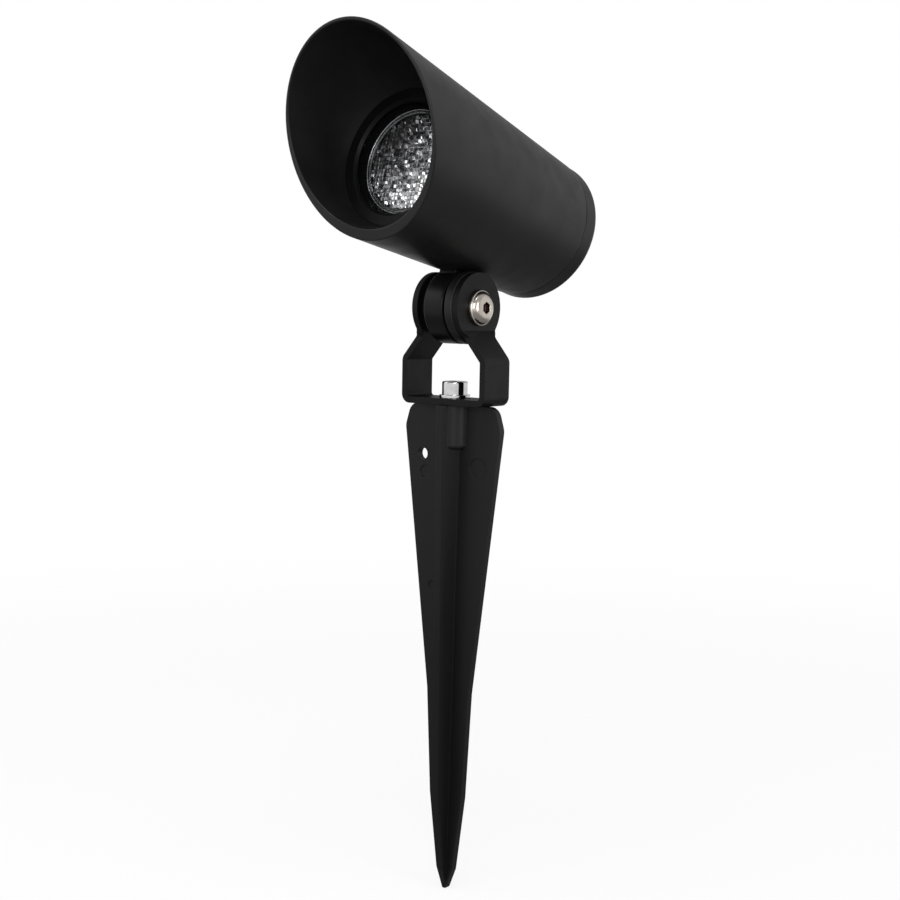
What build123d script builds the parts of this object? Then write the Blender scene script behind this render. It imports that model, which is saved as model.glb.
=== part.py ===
from build123d import *
import math
import os

# Garden spike spotlight. Millimetres, +Z up.
# The origin is the centre of the spike's top face. The lamp looks towards -Y,
# its tilt axis runs along X, and the bracket turns about Z.

# ---------------------------------------------------------------- driving sizes

# pose of the head
REST_TILT = 15.0              # tube axis above the horizon, degrees
PIVOT_HEIGHT = 37.5           # tilt axis above the spike's top face
AXIS_LIFT = 43.8              # tube axis above the tilt axis

# tapered tube with a slant-cut mouth
TUBE_REAR_DIAMETER = 57.4
TUBE_MOUTH_DIAMETER = 72.4    # outside, at the upper lip
TUBE_LENGTH = 124.2           # rear edge to upper lip
LOWER_LIP_SETBACK = 35.2      # how far the lower lip lies behind the upper lip
TUBE_REAR_OFFSET = 34.5       # rear edge behind the tilt axis
WALL = 3.0
LIP_WALL = 1.3                # wall at the upper lip
HOOD_FLARE = 12.4             # how far ahead of the bezel the hood's bore has flared out
HOOD_FLARE_WALL = 0.6         # of the point that pulls the bore outwards there
LIP_RADIUS = 0.5
SEAT_LEDGE = 3.0              # thickness of the ledge that carries the gasket
SEAT_WIDTH = 1.0              # how far that ledge reaches under the gasket

# rear cover
COVER_DEPTH = 9.2
COVER_STEP = 0.25             # how much smaller the cover is than the tube, all round
COVER_FACE = 3.0
COVER_EDGE_RADIUS = 2.6
SPIGOT_LENGTH = 5.0
SPIGOT_WALL = 2.8
FIT_LENGTH = 1.0              # straight bore beyond the spigot
SEAL_CORD = 1.6
SEAL_GROOVE_DEPTH = 1.6
SEAL_SETBACK = 2.4            # seal centre from the seam

# window
GLASS_DIAMETER = 52.0
GLASS_THICKNESS = 2.4
GLASS_FRONT = 46.0            # front of the glass ahead of the tilt axis
GASKET_THICKNESS = 0.8
GASKET_WIDTH = 1.5
BEZEL_THICKNESS = 1.6
BEZEL_OPENING = 42.6
BEZEL_CHAMFER = 1.1

# lamp of 50 mm with two contact pins
LAMP_DIAMETER = 50.0
LAMP_LENGTH = 52.0
LAMP_RIM_HEIGHT = 5.0
LAMP_BASE_DIAMETER = 22.0
LAMP_BASE_HEIGHT = 15.0
LAMP_SHELL = 1.6
LENS_DIAMETER = 41.0
LENS_THICKNESS = 2.4
LENS_GROOVE_WIDTH = 1.6
LENS_GROOVE_DEPTH = 0.7
LENS_RIM_WIDTH = 0.9
PIN_SPACING = 10.0
PIN_LENGTH = 7.0
PIN_DIAMETER = 2.5
PIN_HEAD_DIAMETER = 4.8
PIN_HEAD_HEIGHT = 1.8

# lamp holder, its bridge and the terminal block
HOLDER_SIDE_MARGIN = 3.5      # side of the holder inside the middle of a bridge screw
HOLDER_HEIGHT = 17.0
HOLDER_THICKNESS = 12.0
HOLDER_CORNER_RADIUS = 4.0
HOLDER_SCREW_SPACING = 21.0
HOLDER_SCREW_RECESS = 3.0
BRIDGE_END_MARGIN = 3.5       # end of the bridge beyond the middle of its screw
BRIDGE_HEIGHT = 13.0
BRIDGE_SHEET = 1.2
BRIDGE_SCREW_SPACING = 37.0
PILLAR_DIAMETER = 6.4
BLOCK_WIDTH = 18.0
BLOCK_HEIGHT = 8.6
BLOCK_DEPTH = 9.0
BLOCK_LIFT = 11.4             # underside of the terminal block above the tube axis
BLOCK_POLE_SPACING = 8.0
LEAD_DIAMETER = 2.0

# cord inlet in the rear cover
CORD_DIAMETER = 6.6
INLET_MARGIN = 15.7           # middle of the inlet from the cover's lower edge
GROMMET_WAIST_DIAMETER = 10.0
GROMMET_FLANGE_DIAMETER = 14.0
GROMMET_FLANGE = 1.5

# knuckle under the tube, along the tilt axis
KNUCKLE_DIAMETER = 28.0
KNUCKLE_BARREL_WIDTH = 9.2
KNUCKLE_GROOVE_WIDTH = 0.8
KNUCKLE_GROOVE_DEPTH = 1.8
KNUCKLE_EDGE_RADIUS = 0.7
SADDLE_LENGTH = 17.0          # along the tube
FRICTION_WASHER_DIAMETER = 22.0
FRICTION_WASHER_THICKNESS = 3.2
KNUCKLE_SCREW_SPACING = 10.0
KNUCKLE_SCREW_LENGTH = 9.0

# folded bracket
SHEET = 2.5
BRACKET_WIDTH = 40.6          # across the legs, outside
EAR_SPAN = 22.0               # across the ears, outside
EAR_DIAMETER = 27.0
LEG_WIDTH = 15.5
KNEE_HEIGHT = 17.4
WAIST_DROP = 9.0              # where the ears start to run straight up, below the pivot
BEND_RADIUS = 1.2             # inside of the folds
NECK_RADIUS = 1.5

# fasteners, as diameter, head diameter and head height
PIVOT_BOLT_DIAMETER = 8.0
PIVOT_HEAD_DIAMETER = 14.4
PIVOT_HEAD_HEIGHT = 4.4
PIVOT_HEAD_RIM = 0.5
PIVOT_HEAD_FLAT = 7.4
PIVOT_SOCKET = 5.0
PIVOT_SOCKET_DEPTH = 2.6
PIVOT_NUT_WIDTH = 13.0
PIVOT_NUT_THICKNESS = 4.0
BASE_SCREW_DIAMETER = 6.0
BASE_HEAD_DIAMETER = 10.0
BASE_HEAD_HEIGHT = 5.2
BASE_SOCKET = 5.0
BASE_SCREW_LENGTH = 16.0
BASE_WASHER_DIAMETER = 12.0
BASE_WASHER_THICKNESS = 1.2
SMALL_SCREW_DIAMETER = 3.0
SMALL_HEAD_DIAMETER = 5.4
SMALL_HEAD_HEIGHT = 1.8
SMALL_SCREW_LENGTH = 8.0
KNUCKLE_SCREW_DIAMETER = 4.0
KNUCKLE_HEAD_DIAMETER = 8.0
KNUCKLE_HEAD_HEIGHT = 2.3

# moulded spike
SPIKE_LENGTH = 193.0
WING_HALF_WIDTH = 23.3        # widest, just under the top
WING_SHOULDER_DEPTH = 9.0
WING_TOP_HALF_WIDTH = 20.6
WING_END_DEPTH = 113.0        # where the wings run into the core blades
WING_END_HALF_WIDTH = 10.2
CORE_HALF_WIDTH = 9.8         # of the narrow ribs, at the top
CORE_END_HALF_WIDTH = 7.9
CORE_END_DEPTH = 155.0        # where the point starts
POINT_HALF_WIDTH = 3.9
POINT_DEPTH = 185.0
TIP_HALF_WIDTH = 0.7
BLADE_THICKNESS = 2.8
RIB_EDGE_THICKNESS = 2.6
RIB_ROOT_THICKNESS = 9.0      # at the top, drafted towards the edge
RIB_ROOT_END_THICKNESS = 3.6
TOP_CORNER_RADIUS = 5.0
BOSS_DIAMETER = 14.2
BOSS_DEPTH = 17.0
BOSS_EDGE_RADIUS = 1.6
TIE_HOLE_DIAMETER = 4.8
TIE_HOLE_OFFSET = 14.4
TIE_HOLE_DEPTH = 20.0
MARK_DEPTH = 0.3
MOULD_MARKS = [(-13.0, 27.0, 5.0), (13.0, 24.0, 8.0), (-8.6, 72.0, 4.0)]  # across, down, diameter
INSERT_DIAMETER = 8.4
INSERT_LENGTH = 12.0

# clearances
RUNNING_GAP = 0.08            # radial, pin in a bore that turns on it
FACE_GAP = 0.08               # between flat faces that slide on each other
FREE_GAP = 0.15               # radial, screw in a plain hole
SEAT_GAP = 0.05               # radial, pieces pushed into each other
LAMP_GAP = 0.8                # radial, round the lamp
GLASS_GAP = 0.3               # radial, round the glass and its gasket
LAMP_FACE_GAP = 0.2           # lamp face behind the gasket's seat

# ---------------------------------------------------------------- worked-out places

# The tube frame has its origin on the tube axis above the tilt axis, +Z forward, +Y up.
PIVOT_FRAME = Pos(0, 0, PIVOT_HEIGHT) * Rot(90 - REST_TILT, 0, 0)
TUBE_FRAME = PIVOT_FRAME * Pos(0, AXIS_LIFT, 0)

REAR_Z = -TUBE_REAR_OFFSET
UPPER_LIP_Z = REAR_Z + TUBE_LENGTH
LOWER_LIP_Z = UPPER_LIP_Z - LOWER_LIP_SETBACK
BORE_RADIUS = LAMP_DIAMETER / 2 + LAMP_GAP
SEAT_RADIUS = GLASS_DIAMETER / 2 + GLASS_GAP
GLASS_BACK = GLASS_FRONT - GLASS_THICKNESS
SEAT_Z = GLASS_BACK - GASKET_THICKNESS
BEZEL_FRONT = GLASS_FRONT + BEZEL_THICKNESS
LAMP_FACE = SEAT_Z - LAMP_FACE_GAP
LAMP_BASE = LAMP_FACE - LAMP_LENGTH
HOLDER_FRONT = LAMP_BASE - FACE_GAP
HOLDER_BACK = HOLDER_FRONT - HOLDER_THICKNESS
BRIDGE_BACK = HOLDER_BACK - BRIDGE_SHEET
COVER_BACK = REAR_Z - COVER_DEPTH
COVER_INSIDE = COVER_BACK + COVER_FACE
HOLDER_WIDTH = BRIDGE_SCREW_SPACING - 2 * HOLDER_SIDE_MARGIN
BRIDGE_LENGTH = BRIDGE_SCREW_SPACING + 2 * BRIDGE_END_MARGIN
INLET_DROP = TUBE_REAR_DIAMETER / 2 - INLET_MARGIN

EAR_INSIDE = EAR_SPAN / 2 - SHEET
KNUCKLE_LEFT = -EAR_INSIDE + FRICTION_WASHER_THICKNESS + FACE_GAP
KNUCKLE_RIGHT = KNUCKLE_LEFT + KNUCKLE_BARREL_WIDTH
KNUCKLE_MIDDLE = (KNUCKLE_LEFT + KNUCKLE_RIGHT) / 2

PLATE_BOTTOM = FACE_GAP
PLATE_TOP = PLATE_BOTTOM + SHEET
WASHER_BOTTOM = PLATE_TOP + FACE_GAP
WASHER_TOP = WASHER_BOTTOM + BASE_WASHER_THICKNESS

# ---------------------------------------------------------------- helpers


def rod(diameter, low, high):
    """Round bar along Z between two heights."""
    return Pos(0, 0, low) * Cylinder(diameter / 2, high - low, align=(Align.CENTER, Align.CENTER, Align.MIN))


def rod_x(diameter, left, right):
    """Round bar along X between two places."""
    return Rot(0, 90, 0) * rod(diameter, left, right)


def hex_socket(width, low, high):
    """Six-sided bar along Z, width across its flats."""
    outline = RegularPolygon(width / 2, 6, major_radius=False)
    return Pos(0, 0, low) * extrude(outline, high - low)


def turned(*points):
    """Solid of revolution about Z from (radius, height) points."""
    outline = make_face(Plane.XZ * Polyline(*points, close=True))
    return revolve(outline, Axis.Z)


def turned_edges(*edges):
    """Solid of revolution about Z from connected edges drawn as (radius, height)."""
    return revolve(make_face(Plane.XZ * Wire(edges)), Axis.Z)


def pair(shape, spacing, direction):
    """Two copies of a shape, half the spacing either way along a direction."""
    step = Vector(*direction) * (spacing / 2)
    return [Pos(*step) * shape, Pos(*(step * -1)) * shape]


def tube_radius(z):
    """Outside radius of the tapered tube at a place along its axis."""
    share = (z - REAR_Z) / TUBE_LENGTH
    return (TUBE_REAR_DIAMETER + (TUBE_MOUTH_DIAMETER - TUBE_REAR_DIAMETER) * share) / 2


def save(name, *solids):
    """Write one node: a solid, or a group of like solids."""
    shape = solids[0] if len(solids) == 1 else Compound(children=list(solids))
    export_step(shape, f"parts/{name}.step")


# ---------------------------------------------------------------- head: tube, cover, window


def tube_blank():
    """The full cone that the tube is cut from."""
    return Pos(0, 0, REAR_Z) * Cone(
        tube_radius(REAR_Z), tube_radius(UPPER_LIP_Z), TUBE_LENGTH,
        align=(Align.CENTER, Align.CENTER, Align.MIN))


def mouth_plane():
    """Slanted plane through the upper and the lower lip, facing forward."""
    upper = Vector(0, tube_radius(UPPER_LIP_Z), UPPER_LIP_Z)
    lower = Vector(0, -tube_radius(LOWER_LIP_Z), LOWER_LIP_Z)
    slope = upper - lower
    return Plane(origin=lower, x_dir=(1, 0, 0), z_dir=Vector(1, 0, 0).cross(slope))


def knuckle_screw_stations():
    """Places of the knuckle screws, in the tube frame, on the wall inside the tube."""
    half = KNUCKLE_SCREW_SPACING / 2
    return [Pos(KNUCKLE_MIDDLE, WALL - tube_radius(z), z) * Rot(90, 0, 0) for z in (-half, half)]


def countersunk_screw(extra):
    """Countersunk screw, head up at the origin, pointing along +Z; extra is added all round."""
    head = KNUCKLE_HEAD_DIAMETER / 2 + extra
    shank = KNUCKLE_SCREW_DIAMETER / 2 + extra
    return turned(
        (0, 0), (head, 0), (shank, KNUCKLE_HEAD_HEIGHT), (shank, KNUCKLE_SCREW_LENGTH + extra),
        (0, KNUCKLE_SCREW_LENGTH + extra))


def hood_bore():
    """Space in front of the bezel, opening in a bow from the bezel to the thin upper lip."""
    start = Vector(SEAT_RADIUS, BEZEL_FRONT)
    end = Vector(tube_radius(UPPER_LIP_Z) - LIP_WALL, UPPER_LIP_Z)
    flare_z = BEZEL_FRONT + HOOD_FLARE
    bow = Vector(tube_radius(flare_z) - HOOD_FLARE_WALL, flare_z)
    return turned_edges(
        Line((0, BEZEL_FRONT), start), Bezier(start, bow, end), Line(end, (0, UPPER_LIP_Z)),
        Line((0, UPPER_LIP_Z), (0, BEZEL_FRONT)))


def make_housing():
    bore_end = REAR_Z + SPIGOT_LENGTH + FIT_LENGTH
    ledge_back = SEAT_Z - SEAT_LEDGE
    body = split(tube_blank(), bisect_by=mouth_plane(), keep=Keep.BOTTOM)
    body -= turned(
        (0, REAR_Z), (BORE_RADIUS, REAR_Z), (BORE_RADIUS, bore_end), (tube_radius(bore_end) - WALL, bore_end),
        (tube_radius(ledge_back) - WALL, ledge_back), (SEAT_RADIUS - SEAT_WIDTH, ledge_back),
        (SEAT_RADIUS - SEAT_WIDTH, SEAT_Z), (SEAT_RADIUS, SEAT_Z), (SEAT_RADIUS, BEZEL_FRONT), (0, BEZEL_FRONT))
    body -= hood_bore()
    mouth = body.faces().filter_by(mouth_plane())[0]
    body = fillet(mouth.edges(), LIP_RADIUS)
    for station in knuckle_screw_stations():
        body -= station * countersunk_screw(FREE_GAP)
        body -= station * rod(KNUCKLE_HEAD_DIAMETER, -1, 0)
    return body


def make_rear_cover():
    outside = tube_radius(REAR_Z) - COVER_STEP
    spigot = BORE_RADIUS - SEAT_GAP
    cap = rod(2 * outside, COVER_BACK, REAR_Z)
    cap = fillet(cap.edges().group_by(Axis.Z)[0], COVER_EDGE_RADIUS)
    cover = cap + rod(2 * spigot, REAR_Z, REAR_Z + SPIGOT_LENGTH)
    cover -= rod(2 * (spigot - SPIGOT_WALL), COVER_INSIDE, REAR_Z + SPIGOT_LENGTH)
    groove_middle = REAR_Z + SEAL_SETBACK
    groove = rod(2 * spigot + 2, groove_middle - SEAL_CORD / 2, groove_middle + SEAL_CORD / 2)
    groove -= rod(2 * (spigot - SEAL_GROOVE_DEPTH), groove_middle - SEAL_CORD, groove_middle + SEAL_CORD)
    cover -= groove
    pillar = rod(PILLAR_DIAMETER, COVER_INSIDE, BRIDGE_BACK)
    pillar -= rod(SMALL_SCREW_DIAMETER + 2 * SEAT_GAP, BRIDGE_BACK - SMALL_SCREW_LENGTH, BRIDGE_BACK)
    for post in pair(pillar, BRIDGE_SCREW_SPACING, (1, 0, 0)):
        cover += post
    inlet = rod(GROMMET_WAIST_DIAMETER + 2 * SEAT_GAP, COVER_BACK, COVER_INSIDE)
    return cover - Pos(0, -INLET_DROP, 0) * inlet


def make_rear_seal():
    middle = BORE_RADIUS - SEAT_GAP - SEAL_GROOVE_DEPTH / 2
    return Pos(0, 0, REAR_Z + SEAL_SETBACK) * Torus(middle, SEAL_CORD / 2 - SEAT_GAP)


def make_grommet():
    waist = GROMMET_WAIST_DIAMETER / 2
    flange = GROMMET_FLANGE_DIAMETER / 2
    bore = CORD_DIAMETER / 2
    grommet = turned(
        (bore, COVER_BACK - GROMMET_FLANGE), (flange - GROMMET_FLANGE, COVER_BACK - GROMMET_FLANGE),
        (flange, COVER_BACK), (waist, COVER_BACK), (waist, COVER_INSIDE), (flange, COVER_INSIDE),
        (waist, COVER_INSIDE + GROMMET_FLANGE), (bore, COVER_INSIDE + GROMMET_FLANGE))
    return Pos(0, -INLET_DROP, 0) * grommet


def make_bezel():
    outside = SEAT_RADIUS - SEAT_GAP
    opening = BEZEL_OPENING / 2
    return turned(
        (opening, GLASS_FRONT), (outside, GLASS_FRONT), (outside, BEZEL_FRONT),
        (opening + BEZEL_CHAMFER, BEZEL_FRONT), (opening, BEZEL_FRONT - BEZEL_CHAMFER))


def make_glass():
    glass = rod(GLASS_DIAMETER, GLASS_BACK, GLASS_FRONT)
    return chamfer(glass.edges().filter_by(GeomType.CIRCLE), GLASS_THICKNESS / 10)


def make_gasket():
    return rod(GLASS_DIAMETER, SEAT_Z, GLASS_BACK) - rod(GLASS_DIAMETER - 2 * GASKET_WIDTH, SEAT_Z, GLASS_BACK)


# ---------------------------------------------------------------- head: lamp and its holder


def make_lamp_body():
    outside = LAMP_DIAMETER / 2
    neck = LAMP_BASE_DIAMETER / 2
    pocket = LENS_DIAMETER / 2 + SEAT_GAP
    rim_back = LAMP_FACE - LAMP_RIM_HEIGHT
    neck_front = LAMP_BASE + LAMP_BASE_HEIGHT
    waist = (outside + neck) / 2 + LAMP_SHELL
    body = turned(
        (0, LAMP_BASE), (neck, LAMP_BASE), (neck, neck_front), (waist, (rim_back + neck_front) / 2),
        (outside, rim_back), (outside, LAMP_FACE), (pocket, LAMP_FACE), (pocket, LAMP_FACE - LENS_THICKNESS),
        (0, LAMP_FACE - LENS_THICKNESS))
    return body - Pos(0, 0, LAMP_FACE - LENS_THICKNESS) * Sphere(pocket - LAMP_SHELL)


def make_lamp_lens():
    lens = rod(LENS_DIAMETER, LAMP_FACE - LENS_THICKNESS, LAMP_FACE)
    groove_outside = LENS_DIAMETER - 2 * LENS_RIM_WIDTH
    groove_low = LAMP_FACE - LENS_GROOVE_DEPTH
    groove = rod(groove_outside, groove_low, LAMP_FACE)
    groove -= rod(groove_outside - 2 * LENS_GROOVE_WIDTH, groove_low, LAMP_FACE)
    return lens - groove


def make_lamp_pins():
    pin = rod(PIN_DIAMETER, LAMP_BASE - PIN_LENGTH, LAMP_BASE)
    pin += rod(PIN_HEAD_DIAMETER, LAMP_BASE - PIN_LENGTH, LAMP_BASE - PIN_LENGTH + PIN_HEAD_HEIGHT)
    return pair(pin, PIN_SPACING, (1, 0, 0))


def make_lamp_holder():
    outline = RectangleRounded(HOLDER_WIDTH, HOLDER_HEIGHT, HOLDER_CORNER_RADIUS)
    holder = Pos(0, 0, HOLDER_BACK) * extrude(outline, HOLDER_THICKNESS)
    well = rod(PIN_HEAD_DIAMETER + 2 * GLASS_GAP, HOLDER_FRONT - PIN_LENGTH - GLASS_GAP, HOLDER_FRONT)
    hole = rod(SMALL_SCREW_DIAMETER + 2 * FREE_GAP, HOLDER_BACK, HOLDER_FRONT)
    hole += rod(SMALL_HEAD_DIAMETER + 2 * FREE_GAP, HOLDER_FRONT - HOLDER_SCREW_RECESS, HOLDER_FRONT)
    for cut in pair(well, PIN_SPACING, (1, 0, 0)) + pair(hole, HOLDER_SCREW_SPACING, (1, 0, 0)):
        holder -= cut
    return holder


def make_holder_bridge():
    strap = RectangleRounded(BRIDGE_LENGTH, BRIDGE_HEIGHT, HOLDER_CORNER_RADIUS)
    top = BLOCK_LIFT + BLOCK_HEIGHT
    tab = Pos(0, top / 2) * Rectangle(BLOCK_WIDTH, top)
    bridge = Pos(0, 0, BRIDGE_BACK) * extrude(strap + tab, BRIDGE_SHEET)
    hole = rod(SMALL_SCREW_DIAMETER + 2 * SEAT_GAP, BRIDGE_BACK, HOLDER_BACK)
    for spacing in (BRIDGE_SCREW_SPACING, HOLDER_SCREW_SPACING):
        for cut in pair(hole, spacing, (1, 0, 0)):
            bridge -= cut
    return bridge


def small_screw(seat, length):
    """Pan head screw that points backward from the face it clamps."""
    screw = rod(SMALL_SCREW_DIAMETER, seat - length, seat)
    head = rod(SMALL_HEAD_DIAMETER, seat, seat + SMALL_HEAD_HEIGHT)
    head = fillet(head.edges().group_by(Axis.Z)[-1], SMALL_HEAD_HEIGHT / 3)
    slot = Pos(0, 0, seat + SMALL_HEAD_HEIGHT) * Box(SMALL_HEAD_DIAMETER + 1, 0.7, SMALL_HEAD_HEIGHT)
    return screw + head - slot


def make_terminal_block():
    block = Pos(0, BLOCK_LIFT, HOLDER_BACK) * Box(
        BLOCK_WIDTH, BLOCK_HEIGHT, BLOCK_DEPTH, align=(Align.CENTER, Align.MIN, Align.MIN))
    middle = BLOCK_LIFT + BLOCK_HEIGHT / 2
    top = HOLDER_BACK + BLOCK_DEPTH
    well = Pos(0, middle, 0) * rod(SMALL_HEAD_DIAMETER - 1, top - BLOCK_DEPTH / 3, top)
    wire_way = Pos(0, BLOCK_LIFT + BLOCK_HEIGHT, HOLDER_BACK + BLOCK_DEPTH / 3)
    wire_way = wire_way * Rot(90, 0, 0) * rod(LEAD_DIAMETER + 1, 0, BLOCK_HEIGHT / 3)
    for cut in pair(well, BLOCK_POLE_SPACING, (1, 0, 0)) + pair(wire_way, BLOCK_POLE_SPACING, (1, 0, 0)):
        block -= cut
    return block


def make_holder_leads():
    start = HOLDER_HEIGHT / 2
    lead = Pos(0, start, HOLDER_BACK + BLOCK_DEPTH / 3) * Rot(-90, 0, 0) * rod(LEAD_DIAMETER, 0, BLOCK_LIFT - start)
    return pair(lead, BLOCK_POLE_SPACING, (1, 0, 0))


# ---------------------------------------------------------------- knuckle, in the pivot frame


def seat_on_tube(shape):
    """Cut a piece of the knuckle to the tube's round underside."""
    return shape - Pos(0, AXIS_LIFT, 0) * tube_blank()


def make_knuckle():
    barrel = rod_x(KNUCKLE_DIAMETER, KNUCKLE_LEFT, KNUCKLE_RIGHT)
    barrel = fillet(barrel.edges().filter_by(GeomType.CIRCLE), KNUCKLE_EDGE_RADIUS)
    rise = AXIS_LIFT - BORE_RADIUS
    saddle = Pos(KNUCKLE_MIDDLE, 0, 0) * Box(
        KNUCKLE_BARREL_WIDTH - 2 * KNUCKLE_EDGE_RADIUS, rise, SADDLE_LENGTH,
        align=(Align.CENTER, Align.MIN, Align.CENTER))
    knuckle = seat_on_tube(barrel + saddle)
    knuckle -= rod_x(PIVOT_BOLT_DIAMETER + 2 * RUNNING_GAP, KNUCKLE_LEFT, KNUCKLE_RIGHT)
    for station in knuckle_screw_stations():
        knuckle -= Pos(0, AXIS_LIFT, 0) * station * countersunk_screw(SEAT_GAP)
    return knuckle


def make_knuckle_disc():
    groove_end = KNUCKLE_RIGHT + KNUCKLE_GROOVE_WIDTH
    disc = rod_x(KNUCKLE_DIAMETER, groove_end, EAR_INSIDE - FACE_GAP)
    disc = fillet(disc.edges().filter_by(GeomType.CIRCLE), KNUCKLE_EDGE_RADIUS)
    disc += rod_x(KNUCKLE_DIAMETER - 2 * KNUCKLE_GROOVE_DEPTH, KNUCKLE_RIGHT, groove_end)
    disc -= rod_x(PIVOT_BOLT_DIAMETER + 2 * RUNNING_GAP, KNUCKLE_RIGHT, EAR_INSIDE)
    return seat_on_tube(disc)


# ---------------------------------------------------------------- bracket and pivot fasteners


def make_bracket():
    ear_x = (EAR_SPAN - SHEET) / 2
    leg_x = (BRACKET_WIDTH - SHEET) / 2
    top = PIVOT_HEIGHT + EAR_DIAMETER / 2
    right = [(ear_x, top), (ear_x, PIVOT_HEIGHT - WAIST_DROP), (leg_x, KNEE_HEIGHT), (leg_x, PLATE_BOTTOM + SHEET / 2)]
    left = [(-x, z) for x, z in reversed(right)]
    centre_line = FilletPolyline(*right, *left, radius=BEND_RADIUS + SHEET / 2)
    folded = extrude(Plane.XZ * trace(centre_line, SHEET), EAR_DIAMETER, both=True)

    leg = Pos(0, PIVOT_HEIGHT / 2) * Rectangle(LEG_WIDTH, PIVOT_HEIGHT)
    outline = Pos(0, PIVOT_HEIGHT) * Circle(EAR_DIAMETER / 2) + leg
    neck_z = PIVOT_HEIGHT - math.sqrt(EAR_DIAMETER ** 2 - LEG_WIDTH ** 2) / 2
    necks = outline.vertices().filter_by(lambda v: abs(v.Y - neck_z) < 0.01)
    outline = fillet(necks, NECK_RADIUS)
    bracket = folded & extrude(Plane.YZ * outline, BRACKET_WIDTH, both=True)

    bracket -= Pos(0, 0, PIVOT_HEIGHT) * rod_x(PIVOT_BOLT_DIAMETER + 2 * FREE_GAP, -BRACKET_WIDTH, BRACKET_WIDTH)
    return bracket - rod(BASE_SCREW_DIAMETER + 2 * RUNNING_GAP, PLATE_BOTTOM, PLATE_TOP)


def make_friction_washer():
    right = -EAR_INSIDE + FRICTION_WASHER_THICKNESS
    washer = rod_x(FRICTION_WASHER_DIAMETER, -EAR_INSIDE, right)
    return washer - rod_x(PIVOT_BOLT_DIAMETER + 2 * FREE_GAP, -EAR_INSIDE, right)


def make_pivot_bolt():
    """Button head bolt, built along Z with its seat at zero, then laid along X."""
    rim_radius = PIVOT_HEAD_DIAMETER / 2
    flat_radius = PIVOT_HEAD_FLAT / 2
    dome_rise = PIVOT_HEAD_HEIGHT - PIVOT_HEAD_RIM
    dome_centre = (PIVOT_HEAD_HEIGHT + PIVOT_HEAD_RIM - (rim_radius ** 2 - flat_radius ** 2) / dome_rise) / 2
    dome = Pos(0, 0, dome_centre) * Sphere(math.hypot(rim_radius, PIVOT_HEAD_RIM - dome_centre))
    head = rod(PIVOT_HEAD_DIAMETER, 0, PIVOT_HEAD_HEIGHT) & dome
    head -= hex_socket(PIVOT_SOCKET, PIVOT_HEAD_HEIGHT - PIVOT_SOCKET_DEPTH, PIVOT_HEAD_HEIGHT)
    bolt = head + rod(PIVOT_BOLT_DIAMETER, -EAR_SPAN - PIVOT_NUT_THICKNESS, 0)
    return Pos(EAR_SPAN / 2, 0, PIVOT_HEIGHT) * Rot(0, 90, 0) * bolt


def make_pivot_nut():
    nut = hex_socket(PIVOT_NUT_WIDTH, 0, PIVOT_NUT_THICKNESS)
    nut &= turned((0, 0), (PIVOT_NUT_WIDTH / 2 + 0.9, 0), (PIVOT_NUT_WIDTH / 2 + 0.9, PIVOT_NUT_THICKNESS - 0.8),
                  (PIVOT_NUT_WIDTH / 2 - 0.2, PIVOT_NUT_THICKNESS), (0, PIVOT_NUT_THICKNESS))
    nut -= rod(PIVOT_BOLT_DIAMETER + 2 * SEAT_GAP, 0, PIVOT_NUT_THICKNESS)
    return Pos(-EAR_SPAN / 2, 0, PIVOT_HEIGHT) * Rot(0, -90, 0) * nut


# ---------------------------------------------------------------- base fasteners and spike


def make_base_screw():
    head = rod(BASE_HEAD_DIAMETER, WASHER_TOP, WASHER_TOP + BASE_HEAD_HEIGHT)
    head = fillet(head.edges().group_by(Axis.Z)[-1], 0.6)
    head -= hex_socket(BASE_SOCKET, WASHER_TOP + BASE_HEAD_HEIGHT / 2, WASHER_TOP + BASE_HEAD_HEIGHT)
    return head + rod(BASE_SCREW_DIAMETER, WASHER_TOP - BASE_SCREW_LENGTH, WASHER_TOP)


def make_base_washer():
    washer = rod(BASE_WASHER_DIAMETER, WASHER_BOTTOM, WASHER_TOP)
    return washer - rod(BASE_SCREW_DIAMETER + 2 * FREE_GAP, WASHER_BOTTOM, WASHER_TOP)


def make_spike_insert():
    insert = rod(INSERT_DIAMETER, -INSERT_LENGTH, 0)
    return insert - rod(BASE_SCREW_DIAMETER + 2 * SEAT_GAP, -INSERT_LENGTH, 0)


def rib_section(depth, half_length, root_thickness):
    """Six-sided section of the two narrow ribs at a depth: thin edges, thick root."""
    edge = min(RIB_EDGE_THICKNESS, root_thickness) / 2
    root = root_thickness / 2
    corners = [(edge, half_length), (root, 0), (edge, -half_length)]
    mirrored = [(-x, y) for x, y in reversed(corners)]
    return Pos(0, 0, -depth) * make_face(Polyline(*corners, *mirrored, close=True))


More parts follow.
